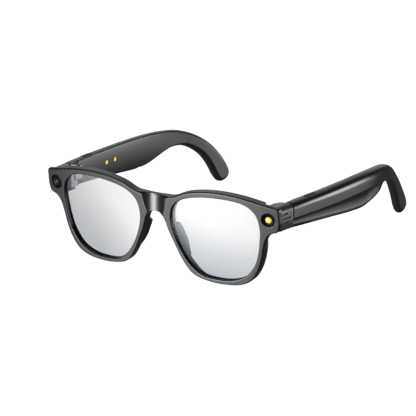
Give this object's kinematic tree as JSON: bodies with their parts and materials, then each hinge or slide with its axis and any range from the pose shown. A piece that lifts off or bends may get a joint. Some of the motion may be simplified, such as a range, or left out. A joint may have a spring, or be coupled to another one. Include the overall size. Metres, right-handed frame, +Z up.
{
  "type": "smart glasses",
  "caption": "Smart glasses with thick folding temples, a camera and an indicator light in the end pieces, and a button on each temple.",
  "frame": {"origin": "on the ground, under the centre of the bounding box of the open glasses, which stand on the lower rims and the temple tips", "axes": "+X towards the wearer's left, -Y the way the wearer looks, +Y along the open temples, +Z up"},
  "size_m": [0.1504, 0.1594, 0.0509],
  "materials": {
    "front_plastic": "satin dark grey",
    "rear_plastic": "satin black",
    "lens_glass": "clear, coated",
    "pad_rubber": "matte",
    "block_plastic": "satin grey",
    "bezel_black": "gloss black",
    "camera_glass": "coated",
    "light_glass": "translucent yellow",
    "module_black": "matte",
    "board_green": "solder mask",
    "flex_orange": "polyimide",
    "hinge_steel": "brushed",
    "temple_plastic": "satin dark grey",
    "cover_plastic": "satin dark grey",
    "tip_plastic": "soft touch",
    "button_plastic": "satin black",
    "switch_metal": "bright",
    "battery_foil": "foil",
    "speaker_black": "matte",
    "mesh_steel": "fine mesh",
    "contact_gold": "gold plated"
  },
  "bodies": {
    "front": {"front_shell": "front_plastic", "rear_shell": "rear_plastic", "lens_left": "lens_glass", "lens_right": "lens_glass", "nose_pad_left": "pad_rubber", "nose_pad_right": "pad_rubber", "hinge_block_left": "block_plastic", "hinge_block_right": "block_plastic", "camera_bezel": "bezel_black", "camera_window": "camera_glass", "camera_module": "module_black", "camera_board": "board_green", "light_bezel": "bezel_black", "light_window": "light_glass", "light_board": "board_green", "front_flex": "flex_orange", "front_leaf_left": "hinge_steel", "front_leaf_right": "hinge_steel", "front_leaf_screws": "hinge_steel", "hinge_pin_left": "hinge_steel", "hinge_pin_right": "hinge_steel"},
    "temple_left": {"temple_shell_left": "temple_plastic", "temple_cover_left": "cover_plastic", "temple_tip_left": "tip_plastic", "tip_core_left": "hinge_steel", "temple_leaf_left": "hinge_steel", "temple_leaf_screws_left": "hinge_steel", "button_switch_left": "switch_metal", "circuit_board_left": "board_green", "battery_left": "battery_foil", "speaker_left": "speaker_black", "speaker_mesh_left": "mesh_steel", "microphone_left": "switch_metal"},
    "temple_right": {"temple_shell_right": "temple_plastic", "temple_cover_right": "cover_plastic", "temple_tip_right": "tip_plastic", "tip_core_right": "hinge_steel", "temple_leaf_right": "hinge_steel", "temple_leaf_screws_right": "hinge_steel", "button_switch_right": "switch_metal", "circuit_board_right": "board_green", "battery_right": "battery_foil", "speaker_right": "speaker_black", "speaker_mesh_right": "mesh_steel", "microphone_right": "switch_metal", "charge_contacts": "contact_gold"},
    "button_left": {"button_left": "button_plastic"},
    "button_right": {"button_right": "button_plastic"}
  },
  "joints": [
    {"name": "fold_left", "type": "hinge", "parent": "front", "child": "temple_left", "pos_m": [0.0652, -0.06044, 0.03913], "axis": [0, 0.0415, 0.9991], "range_deg": [0, 88]},
    {"name": "fold_right", "type": "hinge", "parent": "front", "child": "temple_right", "pos_m": [-0.0652, -0.06044, 0.03913], "axis": [0, -0.0415, -0.9991], "range_deg": [0, 75]},
    {"name": "press_left", "type": "slide", "parent": "temple_left", "child": "button_left", "axis": [0, -0.0415, -0.9991], "range_m": [0, 0.0004], "stiffness_N_per_m": 1000},
    {"name": "press_right", "type": "slide", "parent": "temple_right", "child": "button_right", "axis": [0, -0.0415, -0.9991], "range_m": [0, 0.0004], "stiffness_N_per_m": 1000}
  ]
}
